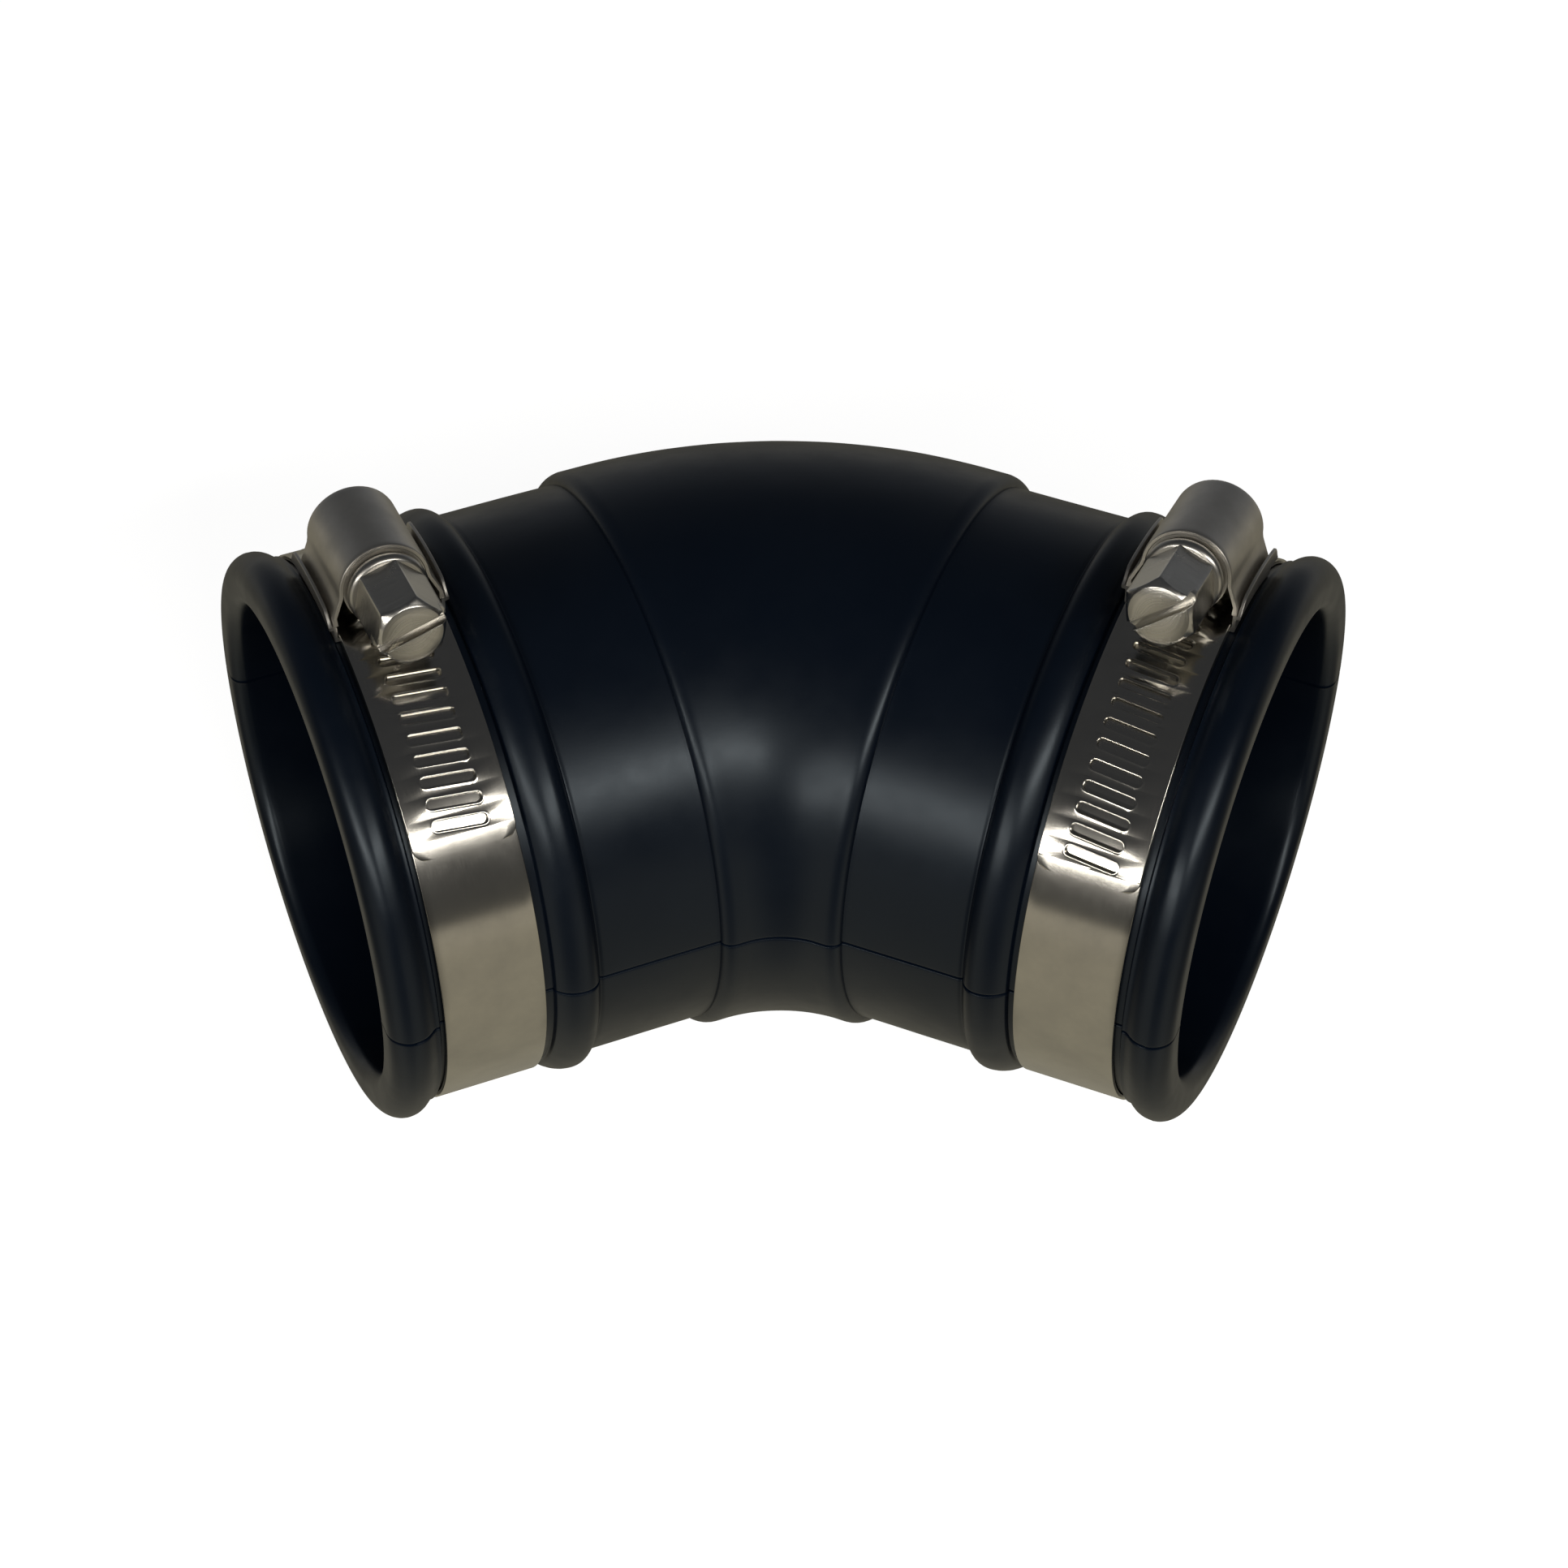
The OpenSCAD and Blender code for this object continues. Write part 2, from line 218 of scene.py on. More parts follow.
def elbow_rings():
    """Rings of the closed rubber skin: (centre, back normal, radius, share) along the part and back.

    The share is how much of the outside's unevenness and parting groove the ring has, none inside.
    """
    left = clamp_frame("left").translation
    rings = []
    # from the end bead's crest to the shoulder, closer together where the outline turns
    s_values = []
    for first, last, count in ((39, 36.2, 12), (36.0, 35.5, 9), (34, 22, 8), (21.5, 21.0, 9),
                               (20.6, 16.2, 18), (16.05, 14.8, 14), (14.4, 14.4, 1), (13.5, 1, 9)):
        s_values += list(np.linspace(first, last, count))
    s_values += [0.6, 0.4, 0.25, 0.1, 0]
    s_values += [SHOULDER * (math.sin(a) - 1) for a in angle_steps(84, -1, -7)]
    s_values += [-2.6, -3.2]
    lip = [(MOUTH_AT + MOUTH_ROUND * math.cos(a), MOUTH_CENTRE - MOUTH_ROUND * math.sin(a))
           for a in angle_steps(90, -1, -10)]
    lip += [(LIP_AT + LIP_ROUND * math.cos(a), LIP_CENTRE + LIP_ROUND * math.sin(a))
            for a in angle_steps(0, 90, 6)]
    # the pipe stop's ledge, then the socket
    socket = [(0.0, 28.3), (1.0, 28.6), (1.9, 28.85), (2.0, 29.1), (2.0, 29.9), (2.1, 30.15)]
    socket += [(2.3, SOCKET_RADIUS)]
    socket += [(s, SOCKET_RADIUS) for s in np.linspace(4, 39.5, 16)]

    def arm_ring(side, s, r, share):
        a = Vector((side * math.cos(BEND_HALF), -math.sin(BEND_HALF), 0))
        n = Vector((side * math.sin(BEND_HALF), math.cos(BEND_HALF), 0))
        start = Vector((-side * left.x, left.y, left.z)) - a * LEFT_CLAMP_AT
        return (start + a * s, n, r, share)

    start_y = left.y + math.sin(BEND_HALF) * LEFT_CLAMP_AT
    start_x = -left.x - math.cos(BEND_HALF) * LEFT_CLAMP_AT

    def bend_rings(bend, radius, count, share, way):
        # the bend's centre is on the normal through each arm's axis
        along = (BEND_RADIUS - bend) * math.tan(BEND_HALF)
        cx = start_x - math.cos(BEND_HALF) * along - bend * math.sin(BEND_HALF)
        cy = start_y + math.sin(BEND_HALF) * along - bend * math.cos(BEND_HALF)
        out = []
        for k in range(count + 1):
            b = BEND_HALF * (2 * k / count - 1) * way
            n = Vector((math.sin(b), math.cos(b), 0))
            out.append((Vector((cx, cy, left.z)) + n * bend, n, radius(abs(b) / BEND_HALF), share))
        return out

    for side in (-1, 1):
        outer = [arm_ring(side, s, r, LIP_SHARE) for s, r in lip]
        outer += [arm_ring(side, s, arm_radius_at(s), 1) for s in s_values]
        if side < 0:
            rings += outer
            rings += bend_rings(SHELL_BEND, lambda t: SHELL_RADIUS + SHELL_CROWN * (1 - t * t), 36, 1, 1)
        else:
            rings += outer[::-1]
    rings += [arm_ring(1, s, r, 0) for s, r in socket[::-1]]
    rings += bend_rings(BEND_RADIUS, lambda t: PASSAGE_RADIUS - 0.1 * t, 24, 0, -1)
    rings += [arm_ring(-1, s, r, 0) for s, r in socket]
    return rings


def parting_angles():
    """Angles round a section, closer together at the mould's parting plane."""
    step = [0, 0.08, 0.16, 0.24, 0.34, 0.5, 0.9, 1.7]
    fine = [math.degrees(d / ARM_RADIUS) for d in step]
    count = 34
    span = np.linspace(fine[-1], 180 - fine[-1], 2 * count + 1)[1:-1]
    half = fine + list(span) + [180 - a for a in fine[::-1]]
    return [math.radians(a) for a in half + [360 - a for a in half[-2:0:-1]]]


def build_elbow():
    angles = parting_angles()
    verts = []
    for centre, n, radius, share in elbow_rings():
        for a in angles:
            from_plane = abs(math.sin(a)) * radius
            groove = PARTING_DEPTH * math.exp(-(from_plane / PARTING_WIDTH) ** 2)
            outward = n * math.cos(a) + Vector((0, 0, math.sin(a)))
            p = centre + outward * radius
            # slightly uneven, and for the most part a little inside the CAD's surface
            wave = noise.noise(p * 0.07) * 0.05 + noise.noise(p * 0.2 + Vector((9, 3, 5))) * 0.02 - 0.04
            verts.append(centre + outward * (radius + (wave - groove) * share))
    rows = len(verts) // len(angles)
    faces = grid_faces(rows, len(angles), closed_rows=True, closed_cols=True)
    return make_object("rubber_elbow", verts, faces, Matrix.Identity(4), "elbow",
                       "elbow", sharp=60)


# ---------------------------------------------------------------- band and tail
EDGE_ROUND = 0.12
SIDE_STEPS = 12
END_STEPS = 6


def slot_outline(offset):
    """Rounded slot, point for point with the cell's border, at an offset outwards."""
    w = SLOT_WIDTH / 2 + offset
    h = SLOT_LENGTH / 2 + offset
    r = min(0.5 + offset, w - 0.02)
    corner = [(math.cos(math.radians(a)), math.sin(math.radians(a))) for a in (45, 22, 0)]
    right = [(w - r + r * c, h - r + r * s) for c, s in corner[::-1]]
    side = [(x, -y) for x, y in right[::-1]]
    side += [(w, v) for v in np.linspace(-(h - r), h - r, SIDE_STEPS - 3)[1:-1]]
    side += right
    top = [(w - r + r * math.cos(math.radians(a)), h - r + r * math.sin(math.radians(a))) for a in (68, 90)]
    top += [(0, h)]
    top += [(-x, y) for x, y in top[1::-1]]
    loop = side + top + [(-x, -y) for x, y in side] + [(-x, -y) for x, y in top]
    c, s = math.cos(-SLOT_SLANT), math.sin(-SLOT_SLANT)
    return [(x * c - y * s, x * s + y * c) for x, y in loop]


def cell_outline(pitch, half):
    side = [(pitch / 2, v) for v in np.linspace(-half, half, SIDE_STEPS + 1)]
    top = [(u, half) for u in np.linspace(pitch / 2, -pitch / 2, END_STEPS + 1)[1:-1]]
    return side + top + [(-x, -y) for x, y in side] + [(-x, -y) for x, y in top]


def edge_profile(half, thick, steps=3):
    """Rounded side of the band from its top surface to its underside, as (v, h)."""
    r = EDGE_ROUND
    turns = np.radians(np.linspace(0, 90, steps + 1))
    up = [(half - r + r * math.sin(a), -r + r * math.cos(a)) for a in turns]
    down = [(v, -thick - h) for v, h in up[::-1]]
    return up + down


def build_strip(name, side, outer_radius, start, end, slots, body, node, end_clip=0):
    """A slotted strip bent round the arm, with the corners of its far end clipped round if asked.

    Angles are in degrees from the screw.
    """
    per_degree = math.radians(1) * outer_radius
    pitch = SLOT_STEP * per_degree
    half = BAND_WIDTH / 2
    inner = half - EDGE_ROUND
    points, faces = [], []

    def add(pts):
        first = len(points)
        points.extend(pts)
        return first

    stations = []
    cell = cell_outline(pitch, inner)
    for angle in slots:
        centre = angle * per_degree
        # a punched slot: a soft raised rim on top, then straight down
        layers = [
            (cell, 0.0),
            (slot_outline(0.42), 0.0),
            (slot_outline(0.24), 0.035),
            (slot_outline(0.12), 0.06),
            (slot_outline(0.03), 0.02),
            (slot_outline(0.0), -0.08),
            (slot_outline(0.0), -BAND_THICK + 0.04),
            (slot_outline(0.04), -BAND_THICK),
            (cell, -BAND_THICK),
        ]
        first = None
        for outline, height in layers:
            f = add([(centre + u, v, height) for u, v in outline])
            n = len(outline)
            if first is not None:
                for k in range(n):
                    faces.append((first + k, first + (k + 1) % n, f + (k + 1) % n, f + k))
            first = f
        stations += [centre + u for u in np.linspace(-pitch / 2, pitch / 2, END_STEPS + 1)]
    lo, hi = start * per_degree, end * per_degree
    v_steps = np.linspace(-1, 1, SIDE_STEPS + 1)
    cuts = sorted([(a * per_degree - pitch / 2, a * per_degree + pitch / 2) for a in slots])
    free, at = [], lo
    for a, b in cuts:
        if a - at > 1e-4:
            free.append((at, a))
        at = b
    if hi - at > 1e-4:
        free.append((at, hi))

    def half_width(u):
        if not end_clip or u <= hi - end_clip:
            return half
        t = (u - hi + end_clip) / end_clip
        return half - end_clip * (1 - math.sqrt(max(1 - t * t, 0))) * 0.85

    for a, b in free:
        count = max(1, round((b - a) / 0.9))
        us = list(np.linspace(a, b, count + 1))
        if b == hi and end_clip:
            us = [u for u in us if u < hi - end_clip - 0.2]
            us += [hi - end_clip + end_clip * math.sin(t) for t in angle_steps(0, 91, 10)]
        for height in (0, -BAND_THICK):
            rows = [[(u, v * (half_width(u) - EDGE_ROUND), height) for v in v_steps] for u in us]
            f = add([p for row in rows for p in row])
            faces.extend(grid_faces(len(us), len(v_steps), first=f))
        stations += us
    unique = []
    for u in sorted(stations):
        if not unique or u - unique[-1] > 1e-4:
            unique.append(u)
    for sign in (-1, 1):
        rows = []
        for u in unique:
            rows.append([(u, sign * v, h) for v, h in edge_profile(half_width(u), BAND_THICK)])
        f = add([p for row in rows for p in row])
        faces.extend(grid_faces(len(unique), len(rows[0]), first=f))
    for u in (lo, hi):
        w = half_width(u)
        profile = edge_profile(w, BAND_THICK)
        top = [(u, v * (w - EDGE_ROUND), 0) for v in v_steps]
        low = [(u, v * (w - EDGE_ROUND), -BAND_THICK) for v in v_steps[::-1]]
        ring = top + [(u, v, h) for v, h in profile[1:-1]] + low + [(u, -v, h) for v, h in profile[-2:0:-1]]
        f = add(ring)
        faces.append(tuple(range(f, f + len(ring))))
    verts, grain = [], []
    for u, v, h in points:
        a = u / outer_radius
        r = outer_radius + h
        verts.append((r * math.cos(a), r * math.sin(a), v))
        grain.append((u * MM, v * MM, h * MM))
    return make_object(name, verts, faces, clamp_frame(side), body, node, grain, sharp=42)


# ---------------------------------------------------------------- saddle and housing
SADDLE_HALF_ANGLE = 12.5
FLOOR_IN, FLOOR_OUT = 34.5, 35.1
FLANGE_IN, FLANGE_OUT = 36.6, 37.1
WALL_IN, WALL_OUT = 6.45, 6.85
LIP_WALL_IN, LIP_WALL_OUT = 7.0, 7.4
LIP_RISE = 1.6


def build_saddle(side):
    """Floor under the tail, a side wall and a flange on each side, and a lip beside each housing foot."""
    reach = SADDLE_HALF_ANGLE
    ends = [reach - 0.7, reach - 0.3]
    stations = sorted(set(list(np.linspace(-reach, reach, 26)) + ends + [-a for a in ends]))
    verts, grain = [], []
    for angle in stations:
        rise = LIP_RISE * smooth_step(reach - abs(angle), -0.4, 3.4)
        top = FLANGE_OUT + max(rise, 0.05)
        # (radius, z, corner radius)
        right = [
            (FLOOR_OUT, WALL_IN, 0.25), (FLANGE_OUT, WALL_IN, 0.15), (FLANGE_OUT, LIP_WALL_IN, 0.1),
            (top, LIP_WALL_IN, 0.1), (top, LIP_WALL_OUT, 0.1), (FLANGE_IN, LIP_WALL_OUT, 0.2),
            (FLANGE_IN, WALL_OUT, 0.2), (FLOOR_IN, WALL_OUT, 0.2),
        ]
        ring = rounded_outline(right + [(r, -z, c) for r, z, c in right[::-1]])
        a = math.radians(angle)
        for r, z in ring:
            verts.append((r * math.cos(a), r * math.sin(a), z))
            grain.append((a * 36 * MM, (z + r) * MM, r * MM))
    cols = len(verts) // len(stations)
    faces = grid_faces(len(stations), cols, closed_cols=True)
    faces.append(tuple(range(cols)))
    faces.append(tuple(range(len(verts) - cols, len(verts))))
    return make_object(f"clamp_saddle_{side}", verts, faces, clamp_frame(side), f"clamp_{side}",
                       f"saddle_{side}", grain)


BARREL_OUT, BARREL_IN = 5.6, 5.0
LEG_OUT, LEG_IN = WALL_OUT, 6.25
FOOT_AT = 37.11
LEG_TOP = -2.9
JOURNAL_BACK, JOURNAL_FRONT = 2.55, 2.65


def barrel_section():
    """Outer and inner paths up one leg and over the arch to its top, as (x, z, follows).

    Points that follow the saddle have a radius for x. The others have a distance from the screw.
    """
    def half(radius, spread):
        pts = [(FOOT_AT, spread, 1), (FOOT_AT + 0.12, spread, 1), (LEG_TOP, spread - 0.03, 0)]
        pts += [(LEG_TOP * (1 - t), spread - 0.03 + (radius - 0.03 - spread) * t, 0)
                for t in (0.15, 0.4, 0.65, 0.85)]
        pts += [(radius * math.sin(t), radius * math.cos(t), 0) for t in angle_steps(2, 90, 6)]
        return pts
    return half(BARREL_OUT, LEG_OUT), half(BARREL_IN, LEG_IN)


def build_housing(side):
    outer, inner = barrel_section()
    outer = outer + [(BARREL_OUT, 0, 0)] + [(x, -z, f) for x, z, f in outer[::-1]]
    inner = inner + [(BARREL_IN, 0, 0)] + [(x, -z, f) for x, z, f in inner[::-1]]
    loop = outer + inner[::-1]
    rim = [0, 0.08, 0.3, 0.9]
    ys = [-HOUSING_BACK + d for d in rim] + list(np.linspace(-HOUSING_BACK + 1.8, HOUSING_FRONT - 1.8, 12))
    ys += [HOUSING_FRONT - d for d in rim[::-1]]
    verts, grain = [], []
    n_out = len(outer)
    run = [0.0]
    for k in range(1, len(loop)):
        p, q = loop[k - 1], loop[k]
        x0 = p[0] if not p[2] else -3.6
        x1 = q[0] if not q[2] else -3.6
        run.append(run[-1] + math.hypot(x0 - x1, p[1] - q[1]))
    for y in ys:
        end = max(0.3 - min(HOUSING_FRONT - y, y + HOUSING_BACK), 0) / 0.3
        tuck = 0.12 * (1 - math.sqrt(max(1 - end * end, 0)))
        for k, (x, z, follows) in enumerate(loop):
            if follows:
                px = math.sqrt(x * x - y * y)
            else:
                # the legs reach down past the screw's ends, where the saddle falls away
                px = SCREW_AT + x
            outward = Vector((px - SCREW_AT, z)).normalized() if not follows else Vector((0, 0))
            sign = -1 if k < n_out else 1
            verts.append((px + sign * tuck * outward.x, y, z + sign * tuck * outward.y))
            grain.append((y * MM, run[k] * MM, 0))
    faces = grid_faces(len(ys), len(loop), closed_cols=True)
    for base in (0, (len(ys) - 1) * len(loop)):
        for k in range(n_out - 1):
            faces.append((base + k, base + k + 1, base + len(loop) - 2 - k, base + len(loop) - 1 - k))
    # end walls with the journals' holes
    for y0, y1, hole in ((-HOUSING_BACK + 0.1, -HOUSING_BACK + 0.7, JOURNAL_BACK),
                         (HOUSING_FRONT - 0.7, HOUSING_FRONT - 0.1, JOURNAL_FRONT)):
        wall = []
        for a in range(0, 360, 10):
            t = math.radians(a)
            x, z = 5.1 * math.cos(t), 5.1 * math.sin(t)
            wall.append((max(x, -3.8), z))
        rings = []
        for y in (y0, y1):
            for scale in (0, 1):
                f = len(verts)
                for k, (x, z) in enumerate(wall):
                    t = math.radians(10 * k)
                    px, pz = (x, z) if scale else (hole * math.cos(t), hole * math.sin(t))
                    verts.append((SCREW_AT + px, y, pz))
                    grain.append((y * MM, pz * MM, 0))
                rings.append(f)
        order = (rings[0], rings[1], rings[3], rings[2])
        for q in range(4):
            a, b = order[q], order[(q + 1) % 4]
            for k in range(36):
                faces.append((a + k, a + (k + 1) % 36, b + (k + 1) % 36, b + k))
    return make_object(f"clamp_housing_{side}", verts, faces, clamp_frame(side), f"clamp_{side}",
                       f"housing_{side}", grain)


# ---------------------------------------------------------------- worm screw
HEX_HALF = 4.0
THREAD_ROOT, THREAD_HEIGHT = 3.0, 1.7
THREAD_START, THREAD_END = -4.6, 7.0
BITE = 0.35
COLLAR = [(8.20, 4.15), (8.24, 4.45), (8.4, 4.72), (8.7, 4.87), (9.0, 4.9),
          (9.3, 4.87), (9.6, 4.72), (9.76, 4.45), (9.8, 4.25)]
HEAD_STATIONS = (9.8, 9.86, 10.4, 12.0, 14.0, 16.0, 17.4, 17.8, 18.0, 18.15, 18.3, 18.45, 18.6, 18.72)
HEAD_FACE = 18.8
# length, width and twice the depth of the driver's slot
DRIVER_SLOT = (14, 1.2, 3.4)


def hex_radius(a):
    return HEX_HALF / math.cos((a % (math.pi / 3)) - math.pi / 6)


def build_screw(side):
    """Nose, thread, neck, collar and slotted hexagon head, as rings from the back end to the face."""
    count = 72
    angles = [math.radians(360 * k / count) for k in range(count)]
    turn = math.radians(HEAD_TURN[side])
    rings = []

    def ring(z, fn):
        rings.append([(fn(a), a, z) for a in angles])

    def round_ring(z, r):
        ring(z, lambda a: r)

    for z, r in ((-6.2, 0.001), (-6.2, 2.2), (-6.05, 2.42), (-5.9, 2.5), (-4.7, 2.5), (-4.6, 2.9)):
        round_ring(z, r)
    # the crests stand in the tail's slots, so they follow the slots' phase
    ahead = (TAIL_OUT - BITE) * math.sin(math.radians(SLOT_PHASE[side]))

    def thread(z):
        def radius(a):
            crest = math.pi + 2 * math.pi * (z - ahead) / SCREW_PITCH
            off = ((a - crest + math.pi) % (2 * math.pi)) - math.pi
            d = abs(off) / (2 * math.pi) * SCREW_PITCH
            fade = smooth_step(min(THREAD_END - z, z - THREAD_START), 0.0, 1.2)
            return THREAD_ROOT + THREAD_HEIGHT * fade * (1 - smooth_step(d, 0.2, 0.75))
        return radius

    for z in np.linspace(-4.55, 6.95, 92):
        ring(z, thread(z))
    for z, r in [(THREAD_END, 2.9), (THREAD_END, 2.6), (8.18, 2.6)] + COLLAR:
        round_ring(z, r)
    for z in HEAD_STATIONS:
        def head(a, z=z):
            cone = 4.66 - max(z - 17.95, 0) * 1.2
            root = 4.45 if z < 9.83 else 9
            return min(hex_radius(a - turn), cone, root)
        ring(z, head)
    round_ring(HEAD_FACE, 3.6)
    round_ring(HEAD_FACE, 0.001)
    verts, grain = [], []
    for row in rings:
        for r, a, z in row:
            verts.append((r * math.cos(a), r * math.sin(a), z))
            grain.append((a * 0.0003, z * MM, r * MM))
    faces = grid_faces(len(rings), count, closed_cols=True)
    obj = make_object(f"worm_screw_{side}", verts, faces, screw_frame(side), f"screw_{side}",
                      f"screw_{side}", grain, sharp=32)
    # the slot for a flat driver, then softened edges
    cut = bpy.data.meshes.new("driver_slot")
    bm = bmesh.new()
    bmesh.ops.create_cube(bm, size=1)
    place = screw_frame(side) @ Matrix.Rotation(turn, 4, "Z") @ Matrix.Translation((0, 0, HEAD_FACE))
    for v in bm.verts:
        v.co = (place @ (v.co * Vector(DRIVER_SLOT))) * MM
    bm.to_mesh(cut)
    bm.free()
    cutter = bpy.data.objects.new("driver_slot", cut)
    scene.collection.objects.link(cutter)
    mod = obj.modifiers.new("slot", "BOOLEAN")
    mod.operation = "DIFFERENCE"
    mod.solver = "EXACT"
    mod.object = cutter
    bev = obj.modifiers.new("edge", "BEVEL")
    bev.width = 0.1 * MM
    bev.segments = 2
    bev.limit_method = "ANGLE"
    bev.angle_limit = math.radians(40)
    bpy.context.view_layer.update()
    done = bpy.data.meshes.new_from_object(obj.evaluated_get(bpy.context.evaluated_depsgraph_get()))
    obj.modifiers.clear()
    obj.data = done
    done.set_sharp_from_angle(angle=math.radians(35))
    bpy.data.objects.remove(cutter)
    return obj


# ---------------------------------------------------------------- materials
class Nodes:
    """Short helper to build a node tree."""

    def __init__(self, tree):
        self.nodes = tree.nodes
        self.links = tree.links

    def feed(self, socket, value):
        if isinstance(value, bpy.types.NodeSocket):
            self.links.new(value, socket)
        else:
            socket.default_value = value

    def add(self, kind, inputs=None, **props):
        node = self.nodes.new(kind)
        for key, value in props.items():
            setattr(node, key, value)
        for key, value in (inputs or {}).items():
            self.feed(node.inputs[key], value)
        return node

    def noise(self, vector, scale, detail=3, rough=0.5, stretch=None):
        if stretch:
            vector = self.add("ShaderNodeMapping", {"Vector": vector, "Scale": stretch}).outputs[0]
        inputs = {"Vector": vector, "Scale": scale, "Detail": detail, "Roughness": rough}
        return self.add("ShaderNodeTexNoise", inputs).outputs["Fac"]

    def ramp(self, fac, stops):
        node = self.add("ShaderNodeValToRGB", {"Fac": fac})
        elements = node.color_ramp.elements
        while len(elements) > 1:
            elements.remove(elements[-1])
        for k, (at, value) in enumerate(stops):
            e = elements[0] if k == 0 else elements.new(at)
            e.position = at
            e.color = (*value, 1) if isinstance(value, tuple) else (value, value, value, 1)
        return node.outputs["Color"]

    def mix(self, fac, a, b, blend="MIX"):
        node = self.add("ShaderNodeMix", data_type="RGBA", blend_type=blend)
        for key, value in ((0, fac), (6, a), (7, b)):
            self.feed(node.inputs[key], value)
        return node.outputs[2]

    def math(self, op, *values):
        return self.add("ShaderNodeMath", dict(enumerate(values)), operation=op).outputs[0]

    def bump(self, height, strength, distance, normal=None):
        node = self.add("ShaderNodeBump", {"Height": height, "Strength": strength, "Distance": distance})
        if normal is not None:
            self.links.new(normal, node.inputs["Normal"])
        return node.outputs["Normal"]


class Tree(Nodes):
    """A new material's nodes, with its shader."""

    def __init__(self, name):
        self.material = bpy.data.materials.new(name)
        self.material.use_nodes = True
        super().__init__(self.material.node_tree)
        self.shader = next(n for n in self.nodes if n.type == "BSDF_PRINCIPLED")

    def set(self, **values):
        for key, value in values.items():
            self.feed(self.shader.inputs[key.replace("_", " ")], value)


def rubber_material():
    t = Tree("moulded_rubber")
    place = t.add("ShaderNodeTexCoord").outputs["Object"]
    cloud = t.noise(place, 45, 4, 0.55)
    tone = t.ramp(cloud, [(0.35, (0.0018, 0.0050, 0.0128)), (0.65, (0.0032, 0.0070, 0.0160))])
    dust = t.noise(place, 1500, 2, 0.6)
    specks = t.ramp(dust, [(0.72, 0.0), (0.80, 1.0)])
    colour = t.mix(t.math("MULTIPLY", specks, 0.2), tone, (0.03, 0.034, 0.038, 1))
    smear = t.noise(place, 120, 5, 0.6)
    rough = t.ramp(smear, [(0.3, 0.30), (0.7, 0.39)])
    grain = t.noise(place, 2600, 3, 0.6)
    ripple = t.noise(place, 160, 2, 0.5)
    normal = t.bump(grain, 0.10, 0.00003)
    normal = t.bump(ripple, 0.10, 0.00015, normal)
    # painted shade along the parting groove: the rubber within 0.3 mm of its plane has almost no shine,
    # standing in for the shade that the narrow groove holds.
    # This painted shade reaches the bores too, where there is no groove
    height = t.add("ShaderNodeSeparateXYZ", {"Vector": place}).outputs["Z"]
    off_plane = t.math("ABSOLUTE", t.math("SUBTRACT", height, PARTING_HEIGHT * MM))
    shine_and_painted_groove_shade = t.ramp(t.math("MULTIPLY", off_plane, 1000.0), [(0.16, 0.02), (0.30, 0.46)])
    # the specular level below carries the painted groove shade
    t.set(Base_Color=colour, Roughness=rough, Normal=normal)
    t.set(Specular_IOR_Level=shine_and_painted_groove_shade, Specular_Tint=(0.80, 0.91, 1.0, 1))
    return t.material


def steel_material(name, base, worn, rough_lo, rough_hi, brush, brush_scale, strength, dents=0.05):
    t = Tree(name)
    place = t.add("ShaderNodeAttribute", attribute_name="grain", attribute_type="GEOMETRY").outputs["Vector"]
    streak = t.noise(place, brush_scale, 4, 0.65, stretch=brush)
    cloud = t.noise(place, 160, 4, 0.6)
    colour = t.mix(t.ramp(cloud, [(0.35, 0.0), (0.7, 1.0)]), (*base, 1), (*worn, 1))
    rough = t.math("ADD", t.ramp(cloud, [(0.3, rough_lo), (0.7, rough_hi)]), t.math("MULTIPLY", streak, 0.08))
    normal = t.bump(streak, strength, 0.00003)
    normal = t.bump(t.noise(place, 420, 2, 0.5), dents, 0.00002, normal)
    t.set(Base_Color=colour, Roughness=rough, Normal=normal, Metallic=1.0)
    return t.material


# ---------------------------------------------------------------- build
rubber = rubber_material()
band_steel = steel_material("brushed_band_steel", (0.60, 0.575, 0.52), (0.52, 0.50, 0.46),
                            0.10, 0.15, (0.05, 1, 1), 9000, 0.12)
housing_steel = steel_material("satin_housing_steel", (0.66, 0.63, 0.58), (0.55, 0.53, 0.49),
                               0.30, 0.40, (0.2, 1, 1), 5000, 0.12)
screw_steel = steel_material("turned_screw_steel", (0.66, 0.64, 0.60), (0.56, 0.54, 0.50),
                             0.16, 0.28, (1, 1, 1), 1500, 0.5, dents=1.0)

elbow = build_elbow()
elbow.data.materials.append(rubber)
for side in SIDES:
    last = TAIL_SLOTS[side]
    phase = SLOT_PHASE[side]
    loop_slots = [360 - SLOT_STEP * i + phase for i in range(24, 3, -1)]
    loop = build_strip(f"clamp_loop_{side}", side, LOOP_OUT, LOOP_START, 360 - LOOP_START,
                       loop_slots, f"clamp_{side}", f"band_{side}")
    tail_slots = [SLOT_STEP * i + phase for i in range(-2, last + 1)]
    tail = build_strip(f"clamp_tail_{side}", side, TAIL_OUT, phase - TAIL_BACK,
                       last * SLOT_STEP + phase + TAIL_TIP[side],
                       tail_slots, f"tail_{side}", f"tail_{side}", end_clip=TAIL_CORNER)
    for strip in (loop, tail):
        strip.data.materials.append(band_steel)
    for part in (build_saddle(side), build_housing(side)):
        part.data.materials.append(housing_steel)
    build_screw(side).data.materials.append(screw_steel)


# ---------------------------------------------------------------- stage
def direction(azimuth, elevation):
    """Azimuth 0 is towards the camera side (-Y), positive to the right."""
    a, e = math.radians(azimuth), math.radians(elevation)
    return Vector((math.sin(a) * math.cos(e), -math.cos(a) * math.cos(e), math.sin(e)))


LAMP_AWAY = 0.9
LAMP_WIDTH, LAMP_HEIGHT = 0.66, 0.06
LAMP_COLOUR = (1.0, 0.97, 0.91)
LAMP_TARGET = (0, 0, 0.04)


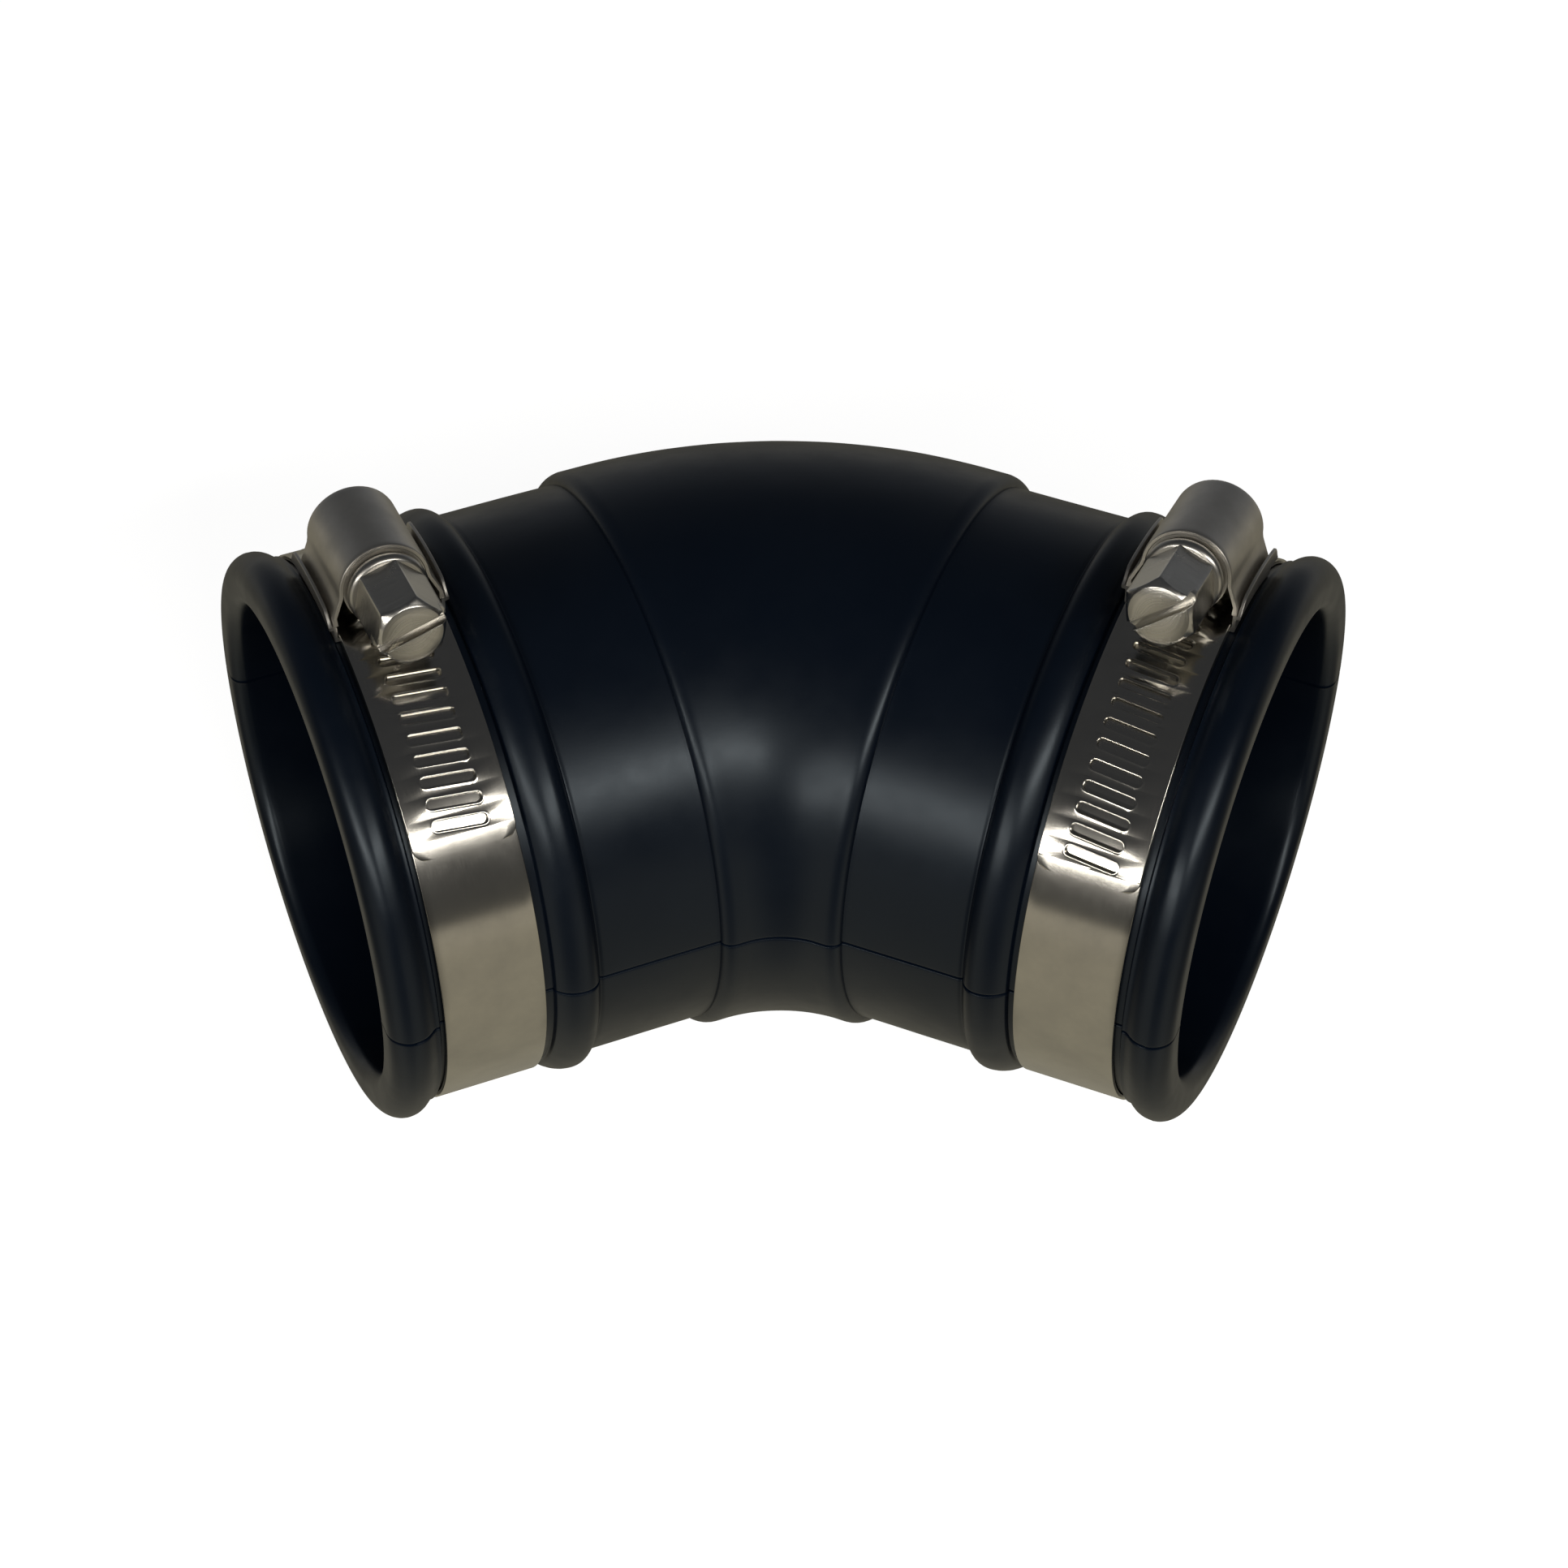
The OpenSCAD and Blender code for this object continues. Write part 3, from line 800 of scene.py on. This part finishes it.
def area_light(name, azimuth, elevation, power):
    data = bpy.data.lights.new(name, "AREA")
    data.shape = "RECTANGLE"
    data.size = LAMP_WIDTH
    data.size_y = LAMP_HEIGHT
    data.energy = power
    data.color = LAMP_COLOUR
    obj = bpy.data.objects.new(name, data)
    scene.collection.objects.link(obj)
    towards = direction(azimuth, elevation)
    obj.location = Vector(LAMP_TARGET) + towards * LAMP_AWAY
    obj.rotation_euler = towards.to_track_quat("Z", "Y").to_euler()


def make_floor():
    mesh = bpy.data.meshes.new("floor")
    size = 6.0
    corners = [(-size, -size, 0), (size, -size, 0), (size, size, 0), (-size, size, 0)]
    mesh.from_pydata(corners, [], [(0, 1, 2, 3)])
    floor = bpy.data.objects.new("floor", mesh)
    scene.collection.objects.link(floor)
    t = Tree("pale_floor")
    t.set(Base_Color=(0.85, 0.85, 0.85, 1), Roughness=1.0)
    t.set(Emission_Color=(1, 1, 1, 1), Emission_Strength=0.86)
    mesh.materials.append(t.material)
    floor.visible_glossy = False
    floor.visible_diffuse = False
    return floor


def make_backdrop():
    mesh = bpy.data.meshes.new("backdrop")
    bm = bmesh.new()
    bmesh.ops.create_uvsphere(bm, u_segments=48, v_segments=24, radius=5.5)
    bm.to_mesh(mesh)
    bm.free()
    drop = bpy.data.objects.new("backdrop", mesh)
    scene.collection.objects.link(drop)
    t = Tree("pale_backdrop")
    t.set(Base_Color=(0, 0, 0, 1), Roughness=1.0)
    t.set(Emission_Color=(1, 1, 1, 1), Emission_Strength=0.96)
    mesh.materials.append(t.material)
    for flag in ("visible_glossy", "visible_diffuse", "visible_shadow", "visible_transmission"):
        setattr(drop, flag, False)
    return drop


# light by height: 0 is straight down, 0.5 level and 1 straight up
WORLD_HEIGHT = [
    (0.0, (0.32, 0.30, 0.235)), (0.36, (0.36, 0.335, 0.265)), (0.465, (0.43, 0.40, 0.33)),
    (0.49, (0.07, 0.07, 0.065)), (0.60, (0.062, 0.062, 0.060)), (0.78, (0.044, 0.046, 0.049)),
    (1.0, (0.044, 0.046, 0.050)),
]
# share of the low light kept, by the angle from the camera's side over 180 degrees
WORLD_AROUND = [(0.0, 0.28), (0.07, 0.34), (0.16, 1.0), (0.28, 1.0), (0.38, 0.35), (0.5, 0.15),
                (0.70, 0.8), (0.80, 0.55), (1.0, 0.45)]
WORLD_GLOW = (0.105, 0.112, 0.125)


def make_world():
    """Dark room overhead, a pale warm table below with the camera's side in shade, and a low glow behind."""
    world = bpy.data.worlds.new("studio")
    world.use_nodes = True
    scene.world = world
    t = Nodes(world.node_tree)
    back = next(n for n in t.nodes if n.type == "BACKGROUND")
    place = t.add("ShaderNodeTexCoord").outputs["Generated"]
    x, y, z = t.add("ShaderNodeSeparateXYZ", {"Vector": place}).outputs
    height = t.math("MULTIPLY_ADD", z, 0.5, 0.5)
    angle = t.math("ABSOLUTE", t.math("ARCTAN2", x, t.math("MULTIPLY", y, -1.0)))
    around = t.math("DIVIDE", angle, math.pi)
    sky = t.ramp(height, WORLD_HEIGHT)
    shade = t.ramp(around, WORLD_AROUND)
    low = t.ramp(height, [(0.0, 0.0), (0.12, 0.6), (0.22, 1.0), (0.55, 1.0), (0.70, 0.0)])
    colour = t.mix(low, sky, t.mix(1.0, sky, shade, "MULTIPLY"))
    behind = t.ramp(around, [(0.55, 0.0), (0.75, 1.0)])
    level = t.ramp(height, [(0.30, 0.0), (0.42, 1.0), (0.62, 1.0), (0.72, 0.0)])
    glow = t.mix(1.0, t.mix(1.0, behind, level, "MULTIPLY"), (*WORLD_GLOW, 1), "MULTIPLY")
    t.feed(back.inputs["Color"], t.mix(1.0, colour, glow, "ADD"))
    t.feed(back.inputs["Strength"], 1.0)


# degrees, metres and millimetres (target)
CAMERA_ELEVATION, CAMERA_AZIMUTH, CAMERA_ROLL = 45.83, 0.08, 0.22
CAMERA_AWAY = 0.47058
CAMERA_TARGET = (0.21, 1.75, 32.90)
CAMERA_LENS = 84.65


def make_camera():
    roll = math.radians(CAMERA_ROLL)
    target = Vector(CAMERA_TARGET) * MM
    back = direction(CAMERA_AZIMUTH, CAMERA_ELEVATION)
    right = (-back).cross(Vector((0, 0, 1))).normalized()
    up = right.cross(-back)
    r2 = right * math.cos(roll) + up * math.sin(roll)
    u2 = -right * math.sin(roll) + up * math.cos(roll)
    data = bpy.data.cameras.new("camera")
    data.sensor_width = 36.0
    data.lens = CAMERA_LENS
    data.clip_start = 0.01
    data.clip_end = 50
    cam = bpy.data.objects.new("camera", data)
    scene.collection.objects.link(cam)
    m = Matrix((r2, u2, back)).transposed().to_4x4()
    m.translation = target + back * CAMERA_AWAY
    cam.matrix_world = m
    scene.camera = cam


make_camera()
make_world()
make_floor()
make_backdrop()
area_light("front_right", 32, 36, 2.3)
area_light("front_left", -32, 23, 2.1)
scene.view_settings.view_transform = "Standard"
